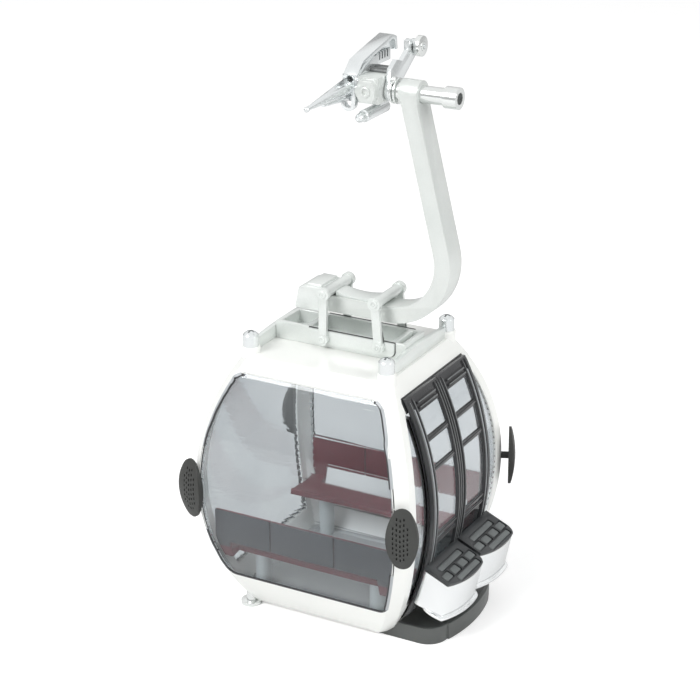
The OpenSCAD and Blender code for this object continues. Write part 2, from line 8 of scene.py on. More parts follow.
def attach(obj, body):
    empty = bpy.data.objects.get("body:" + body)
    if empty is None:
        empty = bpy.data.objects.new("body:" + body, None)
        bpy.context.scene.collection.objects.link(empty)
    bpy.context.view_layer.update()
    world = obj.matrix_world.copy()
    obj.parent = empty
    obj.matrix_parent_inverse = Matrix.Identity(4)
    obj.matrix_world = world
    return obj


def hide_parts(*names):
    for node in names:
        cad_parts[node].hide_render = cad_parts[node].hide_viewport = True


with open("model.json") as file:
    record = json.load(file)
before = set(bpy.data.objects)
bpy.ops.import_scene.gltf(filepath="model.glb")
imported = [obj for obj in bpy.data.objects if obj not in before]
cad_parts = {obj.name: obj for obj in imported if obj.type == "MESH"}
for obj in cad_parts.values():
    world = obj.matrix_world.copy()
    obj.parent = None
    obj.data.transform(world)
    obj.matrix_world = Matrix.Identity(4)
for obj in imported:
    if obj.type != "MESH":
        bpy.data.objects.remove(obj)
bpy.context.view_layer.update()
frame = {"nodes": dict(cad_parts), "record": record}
mm = 0.001
record = frame["record"]
bodyOfNode = {node: body for body, nodes in record["behaviour"]["bodies"].items() for node in nodes}
ropeClamp = [m for m in record["mounts"] if m["name"] == "rope_clamp"][0]["pos_m"]
cabinX = ropeClamp[0] - 3.4 * mm    # the cabin's middle plane; every length below is measured from it
print("frame loaded,", len(frame["nodes"]), "nodes")


# small helpers
def at(x, y, z):
    return Vector((cabinX + x * mm, y * mm, z * mm))


def pick(*objects):
    if bpy.context.mode != "OBJECT":
        bpy.ops.object.mode_set(mode="OBJECT")
    bpy.ops.object.select_all(action="DESELECT")
    for obj in objects:
        obj.select_set(True)
    if objects:
        bpy.context.view_layer.objects.active = objects[0]


def edit(obj, kind="FACE"):
    pick(obj)
    bpy.ops.object.mode_set(mode="EDIT")
    bpy.ops.mesh.select_mode(type=kind)
    bpy.ops.mesh.select_all(action="DESELECT")


def leave():
    bpy.ops.object.mode_set(mode="OBJECT")


def chooseFaces(obj, test):
    net = bmesh.from_edit_mesh(obj.data)
    for face in net.faces:
        if test(face.calc_center_median(), face.normal):
            face.select_set(True)
    bmesh.update_edit_mesh(obj.data)


def chooseEdges(obj, softest, hardest, keep):
    net = bmesh.from_edit_mesh(obj.data)
    for edge in net.edges:
        if len(edge.link_faces) != 2:
            continue
        turn = math.degrees(edge.calc_face_angle())
        middle = (edge.verts[0].co + edge.verts[1].co) / 2
        if softest < turn < hardest and not (keep and keep(middle)):
            edge.select_set(True)
    bmesh.update_edit_mesh(obj.data)


def named(obj, name):
    obj.name = name
    obj.data.name = name
    bpy.ops.object.transform_apply(location=True, rotation=True, scale=True)
    return obj


# block between two corners
def block(name, low, high):
    pick()
    lo, hi = at(*low), at(*high)
    bpy.ops.mesh.primitive_cube_add(size=1, location=(lo + hi) / 2, scale=hi - lo)
    return named(bpy.context.object, name)


# round piece along a line, from rings of (distance along it, radius)
def turned(name, start, end, rings, sides=32):
    pick()
    first, last = at(*start), at(*end)
    way = (last - first).normalized()
    bpy.ops.mesh.primitive_circle_add(
        vertices=sides, radius=rings[0][1] * mm, fill_type="NGON",
        location=first + way * rings[0][0] * mm, rotation=way.to_track_quat("Z", "Y").to_euler())
    obj = bpy.context.object
    bpy.ops.object.mode_set(mode="EDIT")
    bpy.ops.mesh.select_mode(type="FACE")
    bpy.ops.mesh.select_all(action="SELECT")
    for (d0, r0), (d1, r1) in zip(rings, rings[1:]):
        bpy.ops.mesh.extrude_region_move(TRANSFORM_OT_translate={"value": way * (d1 - d0) * mm})
        if r1 != r0:
            bpy.ops.transform.resize(value=(r1 / r0,) * 3, center_override=first + way * d1 * mm)
    bpy.ops.mesh.select_all(action="SELECT")
    bpy.ops.mesh.normals_make_consistent(inside=False)
    leave()
    return named(obj, name)


def modify(obj, kind, **values):
    pick(obj)
    step = obj.modifiers.new(kind.title(), kind)
    for key, value in values.items():
        setattr(step, key, value)
    bpy.ops.object.modifier_apply(modifier=step.name)


def cutWith(obj, *cutters):
    for cutter in cutters:
        modify(obj, "BOOLEAN", operation="DIFFERENCE", solver="EXACT", object=cutter)
        bpy.data.objects.remove(cutter)


def joined(name, *parts):
    pick(*parts)
    bpy.ops.object.join()
    return named(bpy.context.object, name)


def roundEdges(obj, width, steps=2, softest=40, hardest=181, keep=None, clamp=True):
    edit(obj, "EDGE")
    chooseEdges(obj, softest, hardest, keep)
    bpy.ops.mesh.bevel(offset=width * mm, segments=steps, affect="EDGES", clamp_overlap=clamp)
    leave()


def smooth(obj, angle=38):
    pick(obj)
    bpy.ops.object.shade_smooth_by_angle(angle=math.radians(angle))


# copy of a CAD node's mesh with its triangles merged into whole faces
def cadCopy(node, name):
    obj = bpy.data.objects.new(name, frame["nodes"][node].data.copy())
    obj.data.name = name
    obj.data.materials.clear()
    bpy.context.scene.collection.objects.link(obj)
    pick(obj)
    bpy.ops.mesh.customdata_custom_splitnormals_clear()
    edit(obj)
    bpy.ops.mesh.select_all(action="SELECT")
    bpy.ops.mesh.remove_doubles(threshold=0.002 * mm)
    bpy.ops.mesh.dissolve_limited(angle_limit=math.radians(0.6))
    leave()
    return obj


def copied(obj, name, place=Matrix.Identity(4)):
    other = bpy.data.objects.new(name, obj.data.copy())
    other.data.name = name
    bpy.context.scene.collection.objects.link(other)
    other.data.transform(place)
    if place.determinant() < 0:
        edit(other)
        bpy.ops.mesh.select_all(action="SELECT")
        bpy.ops.mesh.normals_make_consistent(inside=False)
        leave()
        smooth(other)
    return other


# mirror about the cabin's two middle planes
def flip(x=1, y=1):
    return Matrix.Translation((cabinX, 0, 0)) @ Matrix.Diagonal((x, y, 1, 1)) @ Matrix.Translation((-cabinX, 0, 0))


# gives a finished piece its material, and the body that it moves with
def settle(obj, material, body, *replaced):
    obj.data.materials.clear()
    obj.data.materials.append(material)
    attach(obj, body)
    if replaced:
        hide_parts(*replaced)
    return obj


# solid finish: colour drifts between two tones, roughness varies, and a fine grain lifts the surface
def solidFinish(name, tones, metallic, roughness, grain, relief, drift=60, coat=0.0, flakes=0.0):
    material = bpy.data.materials.new(name)
    material.use_nodes = True
    nodes, links = material.node_tree.nodes, material.node_tree.links
    shader = nodes["Principled BSDF"]
    shader.inputs["Metallic"].default_value = metallic
    shader.inputs["Coat Weight"].default_value = coat
    shader.inputs["Coat Roughness"].default_value = 0.12
    place = nodes.new("ShaderNodeTexCoord")
    broad = nodes.new("ShaderNodeTexNoise")
    broad.inputs["Scale"].default_value = drift
    broad.inputs["Detail"].default_value = 6
    links.new(place.outputs["Object"], broad.inputs["Vector"])
    tone = nodes.new("ShaderNodeValToRGB")
    tone.color_ramp.elements[0].position = 0.3
    tone.color_ramp.elements[1].position = 0.7
    tone.color_ramp.elements[0].color = (*tones[0], 1)
    tone.color_ramp.elements[1].color = (*tones[1], 1)
    links.new(broad.outputs["Fac"], tone.inputs["Fac"])
    colour = tone.outputs["Color"]
    if flakes:
        cells = nodes.new("ShaderNodeTexVoronoi")
        cells.inputs["Scale"].default_value = 5200
        links.new(place.outputs["Object"], cells.inputs["Vector"])
        lift = nodes.new("ShaderNodeMapRange")
        lift.inputs["To Min"].default_value = 1 - flakes
        lift.inputs["To Max"].default_value = 1 + flakes
        links.new(cells.outputs["Color"], lift.inputs["Value"])
        blend = nodes.new("ShaderNodeMix")
        blend.data_type = "RGBA"
        blend.blend_type = "MULTIPLY"
        blend.inputs["Factor"].default_value = 1
        links.new(colour, blend.inputs[6])
        links.new(lift.outputs["Result"], blend.inputs[7])
        colour = blend.outputs[2]
    links.new(colour, shader.inputs["Base Color"])
    fine = nodes.new("ShaderNodeTexNoise")
    fine.inputs["Scale"].default_value = grain
    fine.inputs["Detail"].default_value = 4
    links.new(place.outputs["Object"], fine.inputs["Vector"])
    spread = nodes.new("ShaderNodeMapRange")
    spread.inputs["From Min"].default_value = 0.3
    spread.inputs["From Max"].default_value = 0.7
    spread.inputs["To Min"].default_value = roughness[0]
    spread.inputs["To Max"].default_value = roughness[1]
    links.new(fine.outputs["Fac"], spread.inputs["Value"])
    links.new(spread.outputs["Result"], shader.inputs["Roughness"])
    bump = nodes.new("ShaderNodeBump")
    bump.inputs["Strength"].default_value = 1
    bump.inputs["Distance"].default_value = relief * mm
    links.new(fine.outputs["Fac"], bump.inputs["Height"])
    links.new(bump.outputs["Normal"], shader.inputs["Normal"])
    return material


# clear sheet whose tint drifts a little; its shadow is a plain lighter tint
def paneFinish(name, tint, deeper, shadow, clear=1.0):
    material = bpy.data.materials.new(name)
    material.use_nodes = True
    nodes, links = material.node_tree.nodes, material.node_tree.links
    shader = nodes["Principled BSDF"]
    shader.inputs["Transmission Weight"].default_value = clear
    shader.inputs["IOR"].default_value = 1.45
    shader.inputs["Roughness"].default_value = 0.015
    place = nodes.new("ShaderNodeTexCoord")
    wave = nodes.new("ShaderNodeTexNoise")
    wave.inputs["Scale"].default_value = 45
    links.new(place.outputs["Object"], wave.inputs["Vector"])
    tone = nodes.new("ShaderNodeValToRGB")
    tone.color_ramp.elements[0].position = 0.35
    tone.color_ramp.elements[1].position = 0.65
    tone.color_ramp.elements[0].color = (*tint, 1)
    tone.color_ramp.elements[1].color = (*deeper, 1)
    links.new(wave.outputs["Fac"], tone.inputs["Fac"])
    links.new(tone.outputs["Color"], shader.inputs["Base Color"])
    through = nodes.new("ShaderNodeBsdfTransparent")
    through.inputs["Color"].default_value = (*shadow, 1)
    ray = nodes.new("ShaderNodeLightPath")
    blend = nodes.new("ShaderNodeMixShader")
    links.new(ray.outputs["Is Shadow Ray"], blend.inputs["Fac"])
    links.new(shader.outputs["BSDF"], blend.inputs[1])
    links.new(through.outputs["BSDF"], blend.inputs[2])
    links.new(blend.outputs["Shader"], nodes["Material Output"].inputs["Surface"])
    return material


shellWhite = solidFinish("shellWhite", [(0.83, 0.84, 0.815), (0.86, 0.87, 0.845)], 0, [0.3, 0.38], 900, 0.0006, coat=0.25)
trimBlack = solidFinish("trimBlack", [(0.028, 0.029, 0.031), (0.038, 0.039, 0.041)], 0, [0.2, 0.27], 1400, 0.0008, coat=0.3)
stepBlack = solidFinish("stepBlack", [(0.07, 0.076, 0.073), (0.088, 0.094, 0.091)], 0, [0.28, 0.34], 1500, 0.0004, coat=0.1)
lidBlack = solidFinish("lidBlack", [(0.03, 0.033, 0.035), (0.042, 0.045, 0.047)], 0, [0.3, 0.4], 1600, 0.0015)
# pale grey of the lid pads and of the lines on the door leaves: painted sheen and painted highlights
paintedSheenGrey = solidFinish("paintedSheenGrey", [(0.13, 0.142, 0.142), (0.17, 0.183, 0.183)], 0, [0.42, 0.55], 2200, 0.004, drift=140)
stripGrey = solidFinish("stripGrey", [(0.36, 0.38, 0.4), (0.44, 0.46, 0.48)], 0, [0.3, 0.4], 1500, 0.001)
sealBlack = solidFinish("sealBlack", [(0.03, 0.031, 0.033), (0.045, 0.046, 0.048)], 0, [0.45, 0.6], 1800, 0.001)
padRubber = solidFinish("padRubber", [(0.026, 0.027, 0.025), (0.04, 0.042, 0.039)], 0, [0.45, 0.58], 2400, 0.003)
seatRed = solidFinish("seatRed", [(0.12, 0.02, 0.03), (0.16, 0.03, 0.043)], 0, [0.34, 0.44], 1500, 0.001)
seatGrey = solidFinish("seatGrey", [(0.05, 0.053, 0.06), (0.07, 0.074, 0.082)], 0, [0.38, 0.48], 1500, 0.001)
floorGrey = solidFinish("floorGrey", [(0.38, 0.4, 0.4), (0.47, 0.49, 0.49)], 0, [0.4, 0.52], 1200, 0.001)
pedestalGrey = solidFinish("pedestalGrey", [(0.56, 0.6, 0.61), (0.66, 0.7, 0.7)], 0, [0.3, 0.42], 1200, 0.001)
castSilver = solidFinish(
    "castSilver", [(0.7, 0.735, 0.715), (0.76, 0.79, 0.77)], 0.4, [0.28, 0.36], 1300, 0.0012, drift=90, flakes=0.03)
platedSilver = solidFinish(
    "platedSilver", [(0.72, 0.75, 0.755), (0.8, 0.825, 0.83)], 0.8, [0.17, 0.24], 1500, 0.0008, drift=120, flakes=0.02)
pocketSilver = solidFinish(
    "pocketSilver", [(0.84, 0.86, 0.865), (0.9, 0.915, 0.92)], 0.85, [0.12, 0.18], 1100, 0.0006, flakes=0.02)
hangerSilver = solidFinish(
    "hangerSilver", [(0.63, 0.66, 0.64), (0.69, 0.715, 0.695)], 0.35, [0.28, 0.36], 1300, 0.001, drift=70, flakes=0.02)
turnedSteel = solidFinish(
    "turnedSteel", [(0.74, 0.76, 0.75), (0.82, 0.84, 0.83)], 0.9, [0.12, 0.18], 2600, 0.0003, flakes=0.02)
# dark grey: the grip's rods in their own colour, and painted shade at the floors of the post and tube sockets
darkMetalAndShade = solidFinish("darkMetalAndShade", [(0.1, 0.105, 0.105), (0.16, 0.165, 0.165)], 0.5, [0.4, 0.55], 1800, 0.002)
smokedPane = paneFinish("smokedPane", (0.76, 0.785, 0.8), (0.7, 0.73, 0.745), (0.86, 0.88, 0.9), clear=0.996)
leafPane = paneFinish("leafPane", (0.87, 0.895, 0.91), (0.83, 0.86, 0.88), (0.9, 0.92, 0.93), clear=0.96)
# dark tint of the lower door panes: painted shade of the cabin behind them
kickShadePane = paneFinish("kickShadePane", (0.2, 0.21, 0.215), (0.15, 0.16, 0.165), (0.4, 0.42, 0.43))
print("materials made")


# white shell
shell = {"crease": 0.9, "edge": 0.22, "seams": (4.6, 66.2), "seamSlack": 0.06}


def nearSeam(point):
    return any(abs(point.z / mm - seam) < shell["seamSlack"] for seam in shell["seams"])


for node, name in {
        "roof_shell": "roofShell", "floor_pan": "floorPan", "front_end_frame": "frontEndFrame",
        "rear_end_frame": "rearEndFrame", "left_side_frame": "leftSideFrame"}.items():
    piece = cadCopy(node, name)
    roundEdges(piece, shell["crease"], 3, softest=14, hardest=60, keep=nearSeam)
    roundEdges(piece, shell["edge"], 2, softest=60, keep=nearSeam)
    smooth(piece)
    settle(piece, shellWhite, "cabin", node)
print("shell done")


# panes and their seals
for node, name in {
        "front_window": "frontPane", "rear_window": "rearPane", "left_window": "leftPane",
        "door_side_glass": "doorSidePanes", "front_leaf_glass": "frontLeafPane",
        "rear_leaf_glass": "rearLeafPane"}.items():
    piece = cadCopy(node, name)
    pick(piece)
    bpy.ops.object.shade_flat()
    settle(piece, leafPane if "leaf" in node or "side" in node else smokedPane, bodyOfNode[node], node)

seal = {"width": 0.3, "depth": 0.5, "stripWidth": 0.95, "stripFace": 0.7, "stripHeights": [(12.5, 24), (47, 64.5)]}


# seal round a pane's outer face, from its edge inwards; heights leaves only the upright parts between them
def sealOn(node, name, width, depth, outwards, heights=None):
    piece = cadCopy(node, name)
    edit(piece)
    chooseFaces(piece, lambda c, n: n.dot(outwards) < 0.5)
    bpy.ops.mesh.delete(type="FACE")
    bpy.ops.mesh.select_all(action="SELECT")
    bpy.ops.mesh.dissolve_limited(angle_limit=math.radians(1.2))
    bpy.ops.mesh.remove_doubles(threshold=0.25 * mm)
    bpy.ops.mesh.select_all(action="SELECT")
    bpy.ops.mesh.inset(thickness=width * mm, use_boundary=True, use_even_offset=True)
    bpy.ops.mesh.delete(type="FACE")
    if heights:
        chooseFaces(piece, lambda c, n: not any(low * mm < c.z < high * mm for low, high in heights)
                    or abs(c.x - cabinX) < 16 * mm)
        bpy.ops.mesh.delete(type="FACE")
    leave()
    modify(piece, "SOLIDIFY", thickness=depth * mm, offset=1)
    smooth(piece)
    return piece


for node, word, outwards in (("front_window", "frontPane", Vector((0, -1, 0))), ("rear_window", "rearPane", Vector((0, 1, 0))),
                             ("left_window", "leftPane", Vector((-1, 0, 0)))):
    settle(sealOn(node, word + "Seal", seal["width"], seal["depth"], outwards), sealBlack, "cabin")
    if abs(outwards.y) > 0.5:
        settle(sealOn(node, word + "Strips", seal["stripWidth"], seal["depth"] - 0.1, outwards, seal["stripHeights"]),
               sealBlack, "cabin")
        settle(sealOn(node, word + "StripFaces", seal["stripFace"], seal["depth"] + 0.04, outwards, seal["stripHeights"]),
               stripGrey, "cabin")
print("panes done")


# door surround and sliding leaves
surroundHalf = 16.62    # the black ends here; the rims of the narrow panes beyond it are white


# the part of the surround on one side of an upright plane; way is -1 or 1 along Y
def surroundPart(name, *cuts):
    part = cadCopy("door_surround", name)
    edit(part)
    for y, way in cuts:
        bpy.ops.mesh.select_all(action="SELECT")
        bpy.ops.mesh.bisect(plane_co=(0, y * mm, 0), plane_no=(0, way, 0), use_fill=True, clear_outer=True)
    leave()
    roundEdges(part, 0.18, 2)
    smooth(part)
    return part


settle(surroundPart("doorSurround", (surroundHalf, 1), (-surroundHalf, -1)), trimBlack, "cabin", "door_surround")
settle(surroundPart("frontPaneRim", (-surroundHalf, 1)), shellWhite, "cabin")
settle(surroundPart("rearPaneRim", (surroundHalf, -1)), shellWhite, "cabin")

sideAxis = {"x": 30.2 - 62, "z": 35, "leafRadius": 63.05}


# solid bar that follows the bowed side of the door
def curvedBar(name, y0, y1, z0, z1, inner, outer, steps=0):
    pick()
    inside, outside = sideAxis["leafRadius"] + inner, sideAxis["leafRadius"] + outer
    turn0 = math.asin((z0 - sideAxis["z"]) / inside)
    turn1 = math.asin((z1 - sideAxis["z"]) / inside)
    middle = (inside + outside) / 2
    bpy.ops.mesh.primitive_plane_add(
        size=1, rotation=(0, -turn0, 0),
        location=at(sideAxis["x"] + middle * math.cos(turn0), (y0 + y1) / 2,
                    sideAxis["z"] + middle * math.sin(turn0)))
    obj = bpy.context.object
    obj.scale = ((outside - inside) * mm, (y1 - y0) * mm, 1)
    named(obj, name)
    bpy.ops.object.mode_set(mode="EDIT")
    bpy.ops.mesh.select_all(action="SELECT")
    bpy.ops.mesh.spin(steps=steps or max(2, round((z1 - z0) / 1.6)), angle=turn1 - turn0,
                      center=at(sideAxis["x"], 0, sideAxis["z"]), axis=(0, 1, 0))
    bpy.ops.mesh.select_all(action="SELECT")
    bpy.ops.mesh.remove_doubles(threshold=0.001 * mm)
    bpy.ops.mesh.normals_make_consistent(inside=False)
    leave()
    return obj


leaf = {
    # distance from the meeting line, then how far each upright rib stands out
    "ribs": [(0.2, 0.85, 0.2), (1.45, 2.15, 0.3), (13.15, 13.85, 0.3), (14.65, 15.75, 0.25)],
    # the same for the painted highlight lines along them
    "highlightLines": [(0.45, 0.6, 0.23), (1.72, 1.88, 0.33), (13.42, 13.58, 0.33), (15.1, 15.28, 0.28)],
    "ribHeights": (6.9, 63.9),
    "bars": [(26.6, 27.2), (28.6, 29.2), (46.2, 46.8), (53.5, 54.1)],
    "louvres": [(60.95, 61.5), (62.1, 62.65)],
    "louvreEnds": (3.1, 12.5),
    "barEnds": (2.1, 13.2),
    "edge": 0.12}
parts = []
for near, past, rise in leaf["ribs"]:
    parts.append(curvedBar("rib", -past, -near, *leaf["ribHeights"], -0.2, rise))
for low, high in leaf["bars"]:
    parts.append(curvedBar("bar", -leaf["barEnds"][1], -leaf["barEnds"][0], low, high, -0.2, 0.16))
for low, high in leaf["louvres"]:
    parts.append(curvedBar("louvre", -leaf["louvreEnds"][1], -leaf["louvreEnds"][0], low, high, -0.2, 0.55))
frontLeafTrim = joined("frontLeafTrim", *parts)
modify(frontLeafTrim, "BEVEL", width=leaf["edge"] * mm, segments=2, limit_method="ANGLE")
smooth(frontLeafTrim)
rearLeafTrim = copied(frontLeafTrim, "rearLeafTrim", flip(y=-1))
# pale strips along the ribs stand for the glint on their edges: painted highlights
parts = [curvedBar("line", -past, -near, leaf["ribHeights"][0] + 0.5, leaf["ribHeights"][1] - 0.5, 0, rise)
         for near, past, rise in leaf["highlightLines"]]
# and along the top edge of each louvre: painted highlights
for low, high in leaf["louvres"]:
    parts.append(curvedBar("line", 0.3 - leaf["louvreEnds"][1], -0.3 - leaf["louvreEnds"][0], high - 0.24, high - 0.08, 0, 0.59))
stilePanels = {-1: "front", 1: "rear"}
for side, word in stilePanels.items():
    panel = curvedBar(word + "StilePanel", min(side * 14.5, side * 14.02), max(side * 14.5, side * 14.02), 9, 61.5, -0.1, 0.07)
    smooth(panel)
    settle(panel, stripGrey, word + "_leaf")
frontLeafHighlights = joined("frontLeafHighlights", *parts)
smooth(frontLeafHighlights)
rearLeafHighlights = copied(frontLeafHighlights, "rearLeafHighlights", flip(y=-1))
settle(frontLeafHighlights, paintedSheenGrey, "front_leaf")
settle(rearLeafHighlights, paintedSheenGrey, "rear_leaf")
for node, name, trim in (("front_leaf_frame", "frontLeaf", frontLeafTrim), ("rear_leaf_frame", "rearLeaf", rearLeafTrim)):
    piece = cadCopy(node, name)
    roundEdges(piece, 0.15, 2)
    smooth(piece)
    settle(piece, trimBlack, bodyOfNode[node], node)
    settle(trim, trimBlack, bodyOfNode[node])

kick = {"ends": (2.3, 13.0), "heights": (8.1, 26.4), "knob": (8.9, 20.6)}
knobX = sideAxis["x"] + math.sqrt(sideAxis["leafRadius"] ** 2 - (kick["knob"][1] - sideAxis["z"]) ** 2)
# dark tinted sheets behind the lower door panes: painted shade of the cabin floor and benches seen through them
frontKick = curvedBar("frontKickShadePane", -kick["ends"][1], -kick["ends"][0], *kick["heights"], -0.5, -0.15, 12)
smooth(frontKick)
rearKick = copied(frontKick, "rearKickShadePane", flip(y=-1))
frontKnob = turned("frontLeafKnob", (knobX - 0.6, -kick["knob"][0], kick["knob"][1]),
                   (knobX + 1, -kick["knob"][0], kick["knob"][1]),
                   [(0, 0.3), (0.7, 0.3), (0.75, 0.5), (1.05, 0.55), (1.3, 0.45), (1.42, 0.2)], 24)
smooth(frontKnob, 50)
rearKnob = copied(frontKnob, "rearLeafKnob", flip(y=-1))
for piece, material, body in ((frontKick, kickShadePane, "front_leaf"), (rearKick, kickShadePane, "rear_leaf"),
                              (frontKnob, turnedSteel, "front_leaf"), (rearKnob, turnedSteel, "rear_leaf")):
    settle(piece, material, body)
print("door done")


# racks on the leaves
rack = {"tilt": 24, "inner": (29.895, -17.3, 22), "nextOne": 17.8, "sink": 0.42, "margin": 0.32,
        # each recess: from u0 to u1 outwards, from v0 to v1 along the lid, corner radius
        "recesses": [(2.3, 3.75, 2.7, 13.8), (4.5, 6.5, 0.9, 3.9), (4.5, 6.5, 5, 8), (4.5, 6.5, 9.1, 12.1),
                     (4.5, 6.5, 13.2, 16.2), (7.15, 8.6, 4.4, 14.9)]}
tilt = math.radians(rack["tilt"])
lidPlace = Matrix.Translation(at(*rack["inner"])) @ Matrix.Rotation(tilt, 4, "Y")


# block in the lid's own frame: u outwards, v along it, w up from its top face
def lidBlock(name, u0, u1, v0, v1, w0, w1, corner):
    pick()
    bpy.ops.mesh.primitive_cube_add(size=1, location=((u0 + u1) / 2 * mm, (v0 + v1) / 2 * mm, (w0 + w1) / 2 * mm),
                                    scale=((u1 - u0) * mm, (v1 - v0) * mm, (w1 - w0) * mm))
    obj = named(bpy.context.object, name)
    edit(obj, "EDGE")
    net = bmesh.from_edit_mesh(obj.data)
    for edge in net.edges:
        run = edge.verts[0].co - edge.verts[1].co
        edge.select_set(abs(run.z) > abs(run.x) + abs(run.y))
    bmesh.update_edit_mesh(obj.data)
    bpy.ops.mesh.bevel(offset=corner * mm, segments=5, affect="EDGES")
    leave()
    obj.data.transform(lidPlace)
    return obj


# the pads in the lid's recesses are a paler grey than the lid: painted sheen
frontLid = cadCopy("front_rack_lid", "frontRackLid")
cutters, inserts = [], []
for u0, u1, v0, v1 in rack["recesses"]:
    gap = rack["margin"]
    cutters.append(lidBlock("cutter", u0 - gap, u1 + gap, v0 - gap, v1 + gap, -rack["sink"], 2, 0.5))
    inserts.append(lidBlock("insert", u0, u1, v0, v1, -rack["sink"] - 0.1, -0.1, 0.35))
cutWith(frontLid, *cutters)
roundEdges(frontLid, 0.16, 2, softest=50)
smooth(frontLid)
frontInserts = joined("frontLidPads", *inserts)
modify(frontInserts, "BEVEL", width=0.12 * mm, segments=2, limit_method="ANGLE")
smooth(frontInserts)
frontBody = cadCopy("front_rack_body", "frontRackPocket")
roundEdges(frontBody, 0.25, 3, softest=50)
smooth(frontBody)
along = Matrix.Translation((0, rack["nextOne"] * mm, 0))
for piece, name, material, node in (
        (frontLid, "rearRackLid", lidBlack, "rack_lid"), (frontInserts, "rearLidPads", paintedSheenGrey, ""),
        (frontBody, "rearRackPocket", pocketSilver, "rack_body")):
    other = copied(piece, name, along)
    settle(piece, material, "front_leaf", *(["front_" + node] if node else []))
    settle(other, material, "rear_leaf", *(["rear_" + node] if node else []))
print("racks done")


# step, floor and feet
for node, name, material, edge in (
        ("entrance_step", "entranceStep", stepBlack, 0.3), ("cabin_floor", "cabinFloor", floorGrey, 0.15),
        ("feet", "standFeet", turnedSteel, 0.15), ("bench_pedestals", "benchPedestals", pedestalGrey, 0.1)):
    piece = cadCopy(node, name)
    roundEdges(piece, edge, 3)
    smooth(piece)
    settle(piece, material, "cabin", node)
print("base done")


# benches
bench = {"splits": (-9, 9), "splitWidth": 0.35, "edge": 0.22}
for end, word in ((-1, "front"), (1, "rear")):
    for node, name, material in ((word + "_bench", word + "Bench", seatRed),
                                 (word + "_bench_back", word + "BenchBack", seatGrey)):
        piece = cadCopy(node, name)
        cutters = [block("cutter", (x - bench["splitWidth"] / 2, min(end * 22.4, end * 27), 19),
                         (x + bench["splitWidth"] / 2, max(end * 22.4, end * 27), 30)) for x in bench["splits"]]
        cutWith(piece, *cutters)
        roundEdges(piece, bench["edge"], 2)
        smooth(piece)
        settle(piece, material, "cabin", node)
print("benches done")


# corner pads
pad = {"front": ((29.4, -28, 34.6), 18), "rear": ((31.7, 26.4, 34.3), 66), "thick": 1.8, "dome": 26,
       "rows": (6, 9, 9, 9, 6), "stagger": 0.3, "stepAcross": 0.88, "stepUp": 1.3, "shift": -0.35,
       "pit": (0.36, 0.72, 0.9), "rimRound": 0.42}


# a dome-faced pad with its field of slim pits; the same pad stands at each corner, turned
def cornerPad(node, name, place, turn, end):
    piece = cadCopy(node, name)
    roundEdges(piece, pad["rimRound"], 4, softest=55)
    pits = []
    for column, rows in enumerate(pad["rows"]):
        across = (column - (len(pad["rows"]) - 1) / 2) * pad["stepAcross"] + pad["shift"]
        for row in range(rows):
            up = (row - (rows - 1) / 2) * pad["stepUp"] + pad["stagger"] * (column % 2)
            wide, tall, deep = pad["pit"]
            face = pad["thick"] - (across ** 2 + up ** 2) / (2 * pad["dome"])
            pick()
            bpy.ops.mesh.primitive_cube_add(size=1, location=(across * mm, face * end * mm, up * mm),
                                            scale=(wide * mm, deep * mm, tall * mm))
            pits.append(named(bpy.context.object, "pit"))
    pitBlock = joined("pits", *pits)
    modify(pitBlock, "BEVEL", width=0.12 * mm, segments=2, limit_method="ANGLE")
    pitBlock.data.transform(Matrix.Translation(at(*place)) @ Matrix.Rotation(math.radians(-end * turn), 4, "Z"))
    cutWith(piece, pitBlock)
    smooth(piece, 45)
    return piece


for end, word in ((-1, "front"), (1, "rear")):
    piece = cornerPad(f"door_{word}_bumper", f"door{word.title()}Pad", *pad[word], end)
    other = copied(piece, f"left{word.title()}Pad", flip(x=-1))
    settle(piece, padRubber, "cabin", f"door_{word}_bumper")
    settle(other, padRubber, "cabin", f"left_{word}_bumper")
print("pads done")


# roof gear, hanger and grip
metalwork = {
    "roof_carrier": ("roofCarrier", castSilver, 0.2), "carrier_plates": ("carrierPlates", castSilver, 0.12),
    "roof_rails": ("roofRails", castSilver, 0.15), "roof_posts": ("roofPosts", platedSilver, 0.1),
    "inner_yoke": ("innerYoke", castSilver, 0.14), "outer_yoke": ("outerYoke", castSilver, 0.14),
    "saddle_strip": ("saddleStrip", castSilver, 0.15), "hanger_arm": ("hangerArm", hangerSilver, 0.4),
    "hanger_end_block": ("hangerEndBlock", castSilver, 0.6), "pivot_pin": ("pivotPin", turnedSteel, 0.1),
    "pivot_tube": ("pivotTube", turnedSteel, 0.15), "pivot_washers": ("pivotWashers", turnedSteel, 0.08),
    "grip_body": ("gripBody", hangerSilver, 0.35), "fixed_jaw": ("fixedJaw", platedSilver, 0.25),
    "lower_jaw": ("lowerJaw", platedSilver, 0.25), "rope_horns": ("ropeHorns", platedSilver, 0.05),
    "hook_ring": ("hookRing", platedSilver, 0.2), "grip_hood": ("gripHood", platedSilver, 0.15),
    "grip_lever": ("gripLever", platedSilver, 0.2), "lever_roller": ("leverRoller", turnedSteel, 0.2)}
shaped = {}
for node, (name, material, edge) in metalwork.items():
    piece = cadCopy(node, name)
    roundEdges(piece, edge, 2)
    smooth(piece)
    settle(piece, material, bodyOfNode[node], node)
    shaped[node] = piece
print("metalwork done")

post = {"across": 18.8, "along": 15.9, "seatRadius": 2.3, "seatTop": 70.4, "crossLong": 2.1, "crossWide": 0.42,
        "crossFloor": 73.1}
places = [(x * post["across"], y * post["along"]) for x in (-1, 1) for y in (-1, 1)]
for x, y in places:
    for long, wide in ((post["crossLong"], post["crossWide"]), (post["crossWide"], post["crossLong"])):
        cutWith(shaped["roof_posts"], block("cutter", (x - long / 2, y - wide / 2, post["crossFloor"]),
                                            (x + long / 2, y + wide / 2, post["crossFloor"] + 3)))
smooth(shaped["roof_posts"])
